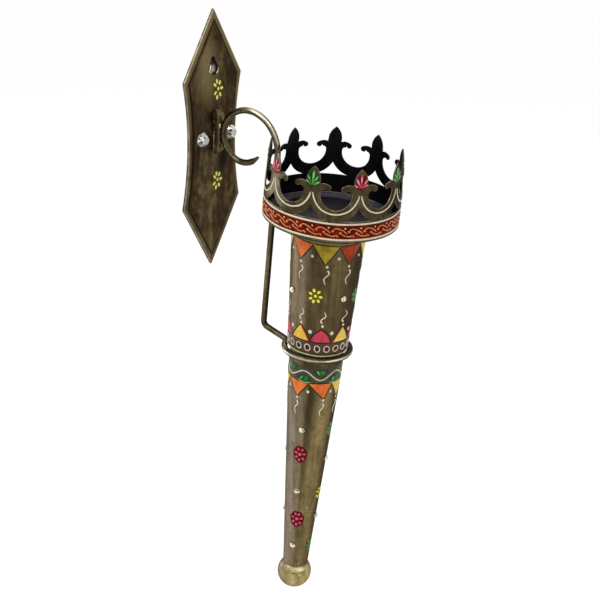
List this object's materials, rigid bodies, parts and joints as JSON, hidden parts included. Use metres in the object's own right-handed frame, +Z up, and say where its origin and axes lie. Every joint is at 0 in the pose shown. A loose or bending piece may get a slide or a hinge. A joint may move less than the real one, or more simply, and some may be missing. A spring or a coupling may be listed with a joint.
{
  "type": "wall candle holder",
  "caption": "Wall candle holder: a lozenge wall plate carries a scrolled rod bracket whose ring holds a painted tapered torch with an open crown, a candle pan and a ball end.",
  "frame": {"origin": "centre of the wall plate, on the wall", "axes": "+Y into the wall, +Z up, +X along the wall to the right as seen from the room"},
  "size_m": [0.1246, 0.2102, 0.5718],
  "materials": {
    "plate_sheet": "aged brass wash over sheet iron, brushed, satin",
    "rod_iron": "darkened iron rod with worn highlights, satin",
    "torch_sheet": "aged brass wash over sheet iron, brushed and hand painted, satin",
    "dark_sheet": "blackened inside, matte",
    "ball_brass": "pressed halves, matte gold",
    "crystal": "foil-backed faceted rhinestone, gloss"
  },
  "bodies": {
    "bracket": {"wall_plate": "plate_sheet", "plate_crystals": "crystal", "arm_saddle": "plate_sheet", "scroll_arm": "rod_iron", "cradle_ring": "rod_iron"},
    "torch": {"crown_gallery": "torch_sheet", "drip_pan": "dark_sheet", "torch_sleeve": "torch_sheet", "neck_tube": "torch_sheet", "handle_cone": "torch_sheet", "ball_upper": "ball_brass", "ball_lower": "ball_brass", "sleeve_crystals": "crystal", "handle_crystals": "crystal"}
  },
  "joints": [
    {"name": "torch_lift", "type": "slide", "parent": "bracket", "child": "torch", "axis": [0, -0.0663, 0.9978], "range_m": [0, 0.29]}
  ]
}
